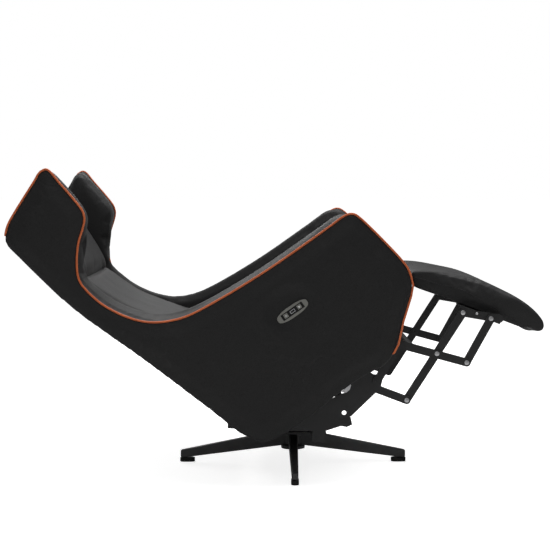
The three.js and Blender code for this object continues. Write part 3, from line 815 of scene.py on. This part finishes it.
def make_cushions():
    soft_piece("seat_cushion", "cushion_seat", 0.008, 6, 0.008, 0.014, seat_hold, "shell")
    soft_piece("back_cushion", "cushion_back", 0.007, 5, 0.004, 0.012, back_hold, "shell",
               draw=(400, 530, 32))
    soft_piece("head_cushion", "cushion_head", 0.006, 5, 0.003, 0.012, back_hold, "shell",
               draw=(680, 575, -20))
    soft_piece("footrest_pad", "cushion_footrest", 0.0055, 7, 0.001, 0.006, footrest_hold,
               "footrest")


def back_cover():
    """Outer back panel, sewn to both side panels."""
    obj = copy_of("back_cover", "cover_back")
    remesh(obj, 0.008, 2)
    half = ARM_INSIDE

    def swell(p, n):
        rear = smoothstep(0.2, 0.7, -n.x * 0.8 - n.z * 0.6)
        across = smoothstep(0.0, 0.10, half - abs(p.y))
        return 0.007 * rear * across - 0.001

    push(obj, swell)
    refine(obj)
    return cushion(obj, "back_cover", "cover_leather", "shell")


def front_panel():
    """Cloth-covered board under the front of the seat."""
    obj = copy_of("seat_front_panel", "cloth_front")
    remesh(obj, 0.006, 2)
    push(obj, lambda p, n: 0.001 * noise.noise(p * 20.0) - 0.0005)
    refine(obj)
    dress(obj, "lining_cloth")
    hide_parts("seat_front_panel")
    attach(obj, "shell")
    return obj


# ---------------------------------------------------------------- rivets, screws, controls

# Shell points of the link pivots, as in the part's own layout
PIVOTS = {
    "rear": ((372, -157), "rear_links", 0.295),
    "knee": ((430, -223), "rear_links", 0.295),
    "heel": ((231, -224), "control_links", 0.295),
    "toe": ((553, -154), "upper_links", 0.290),
    "bracket": ((495, -98), "footrest", 0.290),
}
PANEL_MIDDLE = (95, 168)
PANEL_TURN = math.radians(3)
RIVET_RADIUS = 0.0065
RIVET_RISE = 0.0011
SCREW_AT = (527, -121)
SCREW_FACE = 0.285
SCREW_RADIUS = 0.0036
SCREW_RISE = 0.0016
WINDOW_PLUG_AT = (104, -97)
WINDOW_PLUG_Y = -0.2979
WINDOW_PLUG_RADIUS = 0.0182
WINDOW_PLUG_DEEP = 0.003


def rivet_head():
    """A low domed rivet head, modelled once at the origin, facing -Y."""
    bpy.ops.object.select_all(action="DESELECT")
    bpy.ops.mesh.primitive_cylinder_add(vertices=28, radius=RIVET_RADIUS, depth=RIVET_RISE,
                                        location=(0, 0, 0), rotation=(math.pi / 2, 0, 0))
    obj = bpy.context.view_layer.objects.active
    bpy.ops.object.transform_apply(location=True, rotation=True, scale=True)
    edit(obj)
    pick(obj, lambda c, f: c.y < -RIVET_RISE * 0.4)
    for inward, outward in ((0.12, 0.32), (0.22, 0.22), (0.26, 0.10)):
        bpy.ops.mesh.inset(thickness=RIVET_RADIUS * inward)
        bpy.ops.transform.translate(value=(0, -RIVET_RISE * outward, 0))
    finish_edit()
    only(obj)
    bpy.ops.object.shade_smooth_by_angle(angle=math.radians(50))
    return obj


def place_copy(pattern, name, matrix):
    """A copy of a pattern piece with its own mesh, its place in the mesh."""
    obj = bpy.data.objects.new(name, pattern.data.copy())
    scene.collection.objects.link(obj)
    obj.data.transform(matrix)
    if matrix.determinant() < 0:
        obj.data.flip_normals()
    return obj


def rivets():
    """A rivet head on each visible link pivot, both sides."""
    pattern = rivet_head()
    for key, ((x, z), body, face) in PIVOTS.items():
        for side in (1, -1):
            at = in_shell(x, z, side * (face + RIVET_RISE / 2 + 0.00002))
            turn = Matrix.Diagonal((1, -side, 1, 1))
            name = f"rivet_{key}_{'left' if side > 0 else 'right'}"
            obj = place_copy(pattern, name, Matrix.Translation(at) @ turn)
            dress(obj, "rivet_steel")
            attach(obj, body)
    bpy.data.objects.remove(pattern)


def screw_head(radius, rise):
    """A round screw head with a cross recess, facing -Y."""
    bpy.ops.object.select_all(action="DESELECT")
    bpy.ops.mesh.primitive_cylinder_add(vertices=24, radius=radius, depth=rise,
                                        location=(0, 0, 0), rotation=(math.pi / 2, 0, 0))
    obj = bpy.context.view_layer.objects.active
    bpy.ops.object.transform_apply(location=True, rotation=True, scale=True)
    edit(obj)
    pick(obj, lambda c, f: c.y < -rise * 0.4)
    bpy.ops.mesh.inset(thickness=radius * 0.25)
    bpy.ops.transform.translate(value=(0, -rise * 0.4, 0))
    bpy.ops.mesh.inset(thickness=radius * 0.35)
    bpy.ops.transform.translate(value=(0, rise * 0.8, 0))
    finish_edit()
    only(obj)
    bpy.ops.object.shade_smooth_by_angle(angle=math.radians(50))
    return obj


def bracket_screws():
    """One screw in each footrest bracket."""
    pattern = screw_head(SCREW_RADIUS, SCREW_RISE)
    for side in (1, -1):
        at = in_shell(*SCREW_AT, side * (SCREW_FACE + SCREW_RISE / 2))
        turn = Matrix.Diagonal((1, -side, 1, 1))
        name = f"screw_bracket_{'left' if side > 0 else 'right'}"
        obj = place_copy(pattern, name, Matrix.Translation(at) @ turn)
        dress(obj, "rivet_steel")
        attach(obj, "footrest")
    bpy.data.objects.remove(pattern)


def key_mark(node, body, way):
    """A small raised arrow on one key, pointing the way the chair moves."""
    low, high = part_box(node)
    c = (low + high) / 2
    bpy.ops.object.select_all(action="DESELECT")
    bpy.ops.mesh.primitive_cylinder_add(vertices=3, radius=0.0036, depth=0.0006,
                                        location=(0, 0, 0), rotation=(math.pi / 2, 0, 0))
    obj = bpy.context.view_layer.objects.active
    bpy.ops.object.transform_apply(location=True, rotation=True, scale=True)
    edit(obj)
    pick(obj, lambda m, f: m.y < -0.0002)
    bpy.ops.mesh.inset(thickness=0.0005)
    bpy.ops.transform.translate(value=(0, -0.0002, 0))
    finish_edit()
    turn = Matrix.Rotation(RECLINE + way, 4, "Y")
    obj.data.transform(Matrix.Translation((c.x, low.y - 0.0001, c.z)) @ turn)
    obj.name = f"mark_{node}"
    dress(obj, "socket_metal")
    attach(obj, body)
    return obj


def recess_lining():
    """A dark tray in the recess of the control panel, behind the keys and the socket."""
    bpy.ops.object.select_all(action="DESELECT")
    bpy.ops.mesh.primitive_cube_add(size=1, location=(0, 0, 0))
    obj = bpy.context.view_layer.objects.active
    obj.name = "recess_lining"
    length, depth, height = 0.0698, 0.00886, 0.0178
    edit(obj)
    bpy.ops.mesh.select_all(action="SELECT")
    bpy.ops.transform.resize(value=(length, depth, height))
    pick(obj, lambda m, f: m.y < -depth * 0.45)
    bpy.ops.mesh.delete(type="FACE")
    finish_edit()
    add_modifier(obj, "SOLIDIFY", thickness=0.00025, offset=-1)
    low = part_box("control_bezel")[0]
    middle = in_shell(*PANEL_MIDDLE)
    turn = Matrix.Rotation(-(RECLINE + PANEL_TURN), 4, "Y")
    place = Matrix.Translation((middle.x, low.y + 0.0004 + depth / 2, middle.z))
    obj.data.transform(place @ turn)
    dress(obj, "recess_plastic")
    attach(obj, "shell")


def window_plug():
    """A grey half-round plug in the long window of the right seat plate."""
    bpy.ops.object.select_all(action="DESELECT")
    bpy.ops.mesh.primitive_cylinder_add(vertices=32, radius=WINDOW_PLUG_RADIUS,
                                        depth=WINDOW_PLUG_DEEP, location=(0, 0, 0),
                                        rotation=(math.pi / 2, 0, 0))
    obj = bpy.context.view_layer.objects.active
    obj.name = "window_plug"
    bpy.ops.object.transform_apply(location=True, rotation=True, scale=True)
    edit(obj)
    bpy.ops.mesh.select_all(action="SELECT")
    bpy.ops.mesh.bisect(plane_co=(0, 0, -0.005), plane_no=(-0.2, 0, 1), use_fill=True,
                        clear_outer=True)
    pick(obj, lambda m, f: m.y < -0.0014)
    bpy.ops.mesh.inset(thickness=0.0012)
    bpy.ops.transform.translate(value=(0, -0.0003, 0))
    finish_edit()
    at = in_shell(*WINDOW_PLUG_AT, WINDOW_PLUG_Y)
    obj.data.transform(Matrix.Translation(at) @ Matrix.Rotation(-RECLINE, 4, "Y"))
    dress(obj, "rivet_steel")
    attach(obj, "shell")


def base_bolts():
    """Four hexagon bolts through the top swivel plate."""
    low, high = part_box("swivel_upper_race")
    bpy.ops.object.select_all(action="DESELECT")
    bpy.ops.mesh.primitive_cylinder_add(vertices=6, radius=0.0085, depth=0.006,
                                        location=(0, 0, 0.003))
    obj = bpy.context.view_layer.objects.active
    bpy.ops.object.transform_apply(location=True, rotation=True, scale=True)
    edit(obj)
    pick(obj, lambda c, f: c.z > 0.005)
    bpy.ops.mesh.bevel(offset=0.0012, segments=2)
    pick(obj, lambda c, f: c.z < 0.001)
    bpy.ops.mesh.extrude_region_move(TRANSFORM_OT_translate={"value": (0, 0, 0)})
    bpy.ops.transform.resize(value=(1.25, 1.25, 1), center_override=(0, 0, 0))
    finish_edit()
    middle = (low + high) / 2
    for i, (dx, dy) in enumerate(((-0.045, -0.1), (0.045, -0.1), (0.045, 0.1), (-0.045, 0.1))):
        place = Matrix.Translation((middle.x + dx, dy, high.z + 0.0001))
        bolt = place_copy(obj, f"bolt_swivel_{i + 1}", place)
        dress(bolt, "rivet_steel")
        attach(bolt, "swivel_frame")
    bpy.data.objects.remove(obj)


# ---------------------------------------------------------------- sewn seams


def on_surface(obj, points, way, sink):
    """Drops each point on obj along way, and sinks it a little below the skin."""
    bpy.context.view_layer.update()
    found = []
    for p in points:
        hit, at, normal, _ = obj.ray_cast(p - way * 0.25, way)
        if hit:
            found.append(at - normal * sink)
    return found


def seam(name, obj, points, way, body, finish="inner_leather", radius=0.0016, sink=0.0004):
    """A sewn welt laid along points on the skin of obj."""
    line = on_surface(obj, points, way, sink)
    made = tube(name, line, radius, resolution=3, sides=2)
    dress(made, finish)
    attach(made, body)
    return made


def along(points, count):
    """Evenly numbered points through a line given by a few."""
    line = smooth_loop(points, False, 12)
    return [line[round(i * (len(line) - 1) / (count - 1))] for i in range(count)]


# Shell points of the footrest's side seam, and of the seam across the front of the seat
FOOTREST_SEAM = ((432, 56), (480, 5), (529, -48), (556, -95), (580, -145), (612, -200), (640, -243))
SEAT_SEAM = (400, 172)


def make_seams():
    """Seams on both sides of the footrest and across the seat's front."""
    foot = bpy.data.objects["cushion_footrest"]
    for side in (1, -1):
        name = "left" if side > 0 else "right"
        path = [in_shell(x, z) for x, z in FOOTREST_SEAM]
        seam(f"seam_footrest_{name}", foot, along(path, 26), Vector((0, -side, 0)), "footrest")
    seat = bpy.data.objects["cushion_seat"]
    low = [in_shell(*SEAT_SEAM, y / 1000) for y in range(-255, 256, 30)]
    way = in_shell(-1, 0) - in_shell(0, 0)
    seam("seam_seat_front", seat, low, way.normalized(), "shell")


# ---------------------------------------------------------------- studio


def make_floor():
    """A wide pale floor, bright to the camera so that only a faint shadow is left."""
    bpy.ops.object.select_all(action="DESELECT")
    bpy.ops.mesh.primitive_plane_add(size=120, location=(0, 0, 0))
    floor = bpy.context.view_layer.objects.active
    floor.name = "floor"
    made, tree, shader, where = start("pale_floor", Roughness=0.95, Specular_IOR_Level=0.0)
    shader.inputs["Base Color"].default_value = (0.86, 0.86, 0.86, 1)
    shader.inputs["Emission Color"].default_value = (1, 1, 1, 1)
    seen = put(tree, "ShaderNodeLightPath").outputs["Is Camera Ray"]
    tree.links.new(math_node(tree, "MULTIPLY", seen, 0.8), shader.inputs["Emission Strength"])
    floor.data.materials.append(made)


def make_world():
    """White behind the chair; softer light from above for everything but the camera."""
    world = bpy.data.worlds.new("studio")
    scene.world = world
    world.use_nodes = True
    tree = world.node_tree
    tree.nodes.clear()
    way = put(tree, "ShaderNodeTexCoord").outputs["Generated"]
    up = put(tree, "ShaderNodeSeparateXYZ", Vector=way).outputs[2]
    glow = spread(tree, up, -0.2, 0.9, 0.06, 0.36)
    seen = put(tree, "ShaderNodeLightPath").outputs["Is Camera Ray"]
    strength = put(tree, "ShaderNodeMix", data_type="FLOAT", i0=seen, i2=glow, i3=1.0)
    back = put(tree, "ShaderNodeBackground", Color=(1, 1, 1, 1))
    tree.links.new(strength.outputs[0], back.inputs[1])
    out = put(tree, "ShaderNodeOutputWorld")
    tree.links.new(back.outputs[0], out.inputs[0])


def softbox(name, size, power, place, target):
    """A rectangular studio light at a place, turned to a target."""
    data = bpy.data.lights.new(name, "AREA")
    data.shape = "RECTANGLE"
    data.size, data.size_y = size
    data.energy = power
    light = bpy.data.objects.new(name, data)
    scene.collection.objects.link(light)
    light.location = place
    light.rotation_euler = (Vector(target) - Vector(place)).to_track_quat("-Z", "Y").to_euler()


def make_studio():
    """Floor, background and three soft lights."""
    scene.view_settings.view_transform = "Standard"
    make_floor()
    make_world()
    softbox("top_light", (3.2, 2.4), 95, (0.3, 0.3, 3.1), (0, 0, 0.4))
    softbox("front_fill", (3.0, 2.0), 16, (-0.8, -4.2, 2.6), (0, 0, 0.5))
    softbox("rear_light", (2.4, 1.6), 30, (-1.2, 3.2, 1.9), (0, 0, 0.6))


# ---------------------------------------------------------------- make it all

make_camera()
make_finishes()
dress_frame()
outline = panel_outline()
run = piped_part(outline)
seam_line = smooth_loop(outline, True, 6)
seam_tree = kdtree.KDTree(len(seam_line))
for i, p in enumerate(seam_line):
    seam_tree.insert(p, i)
seam_tree.balance()
for side in (1, -1):
    side_cover(side, outline, seam_tree)
    piping(side, run)
    inner_pad(side, outline)
make_cushions()
back_cover()
front_panel()
make_seams()
rivets()
bracket_screws()
base_bolts()
recess_lining()
window_plug()
key_mark("button_recline", "recline_key", math.pi)
key_mark("button_return", "return_key", 0.0)
make_studio()
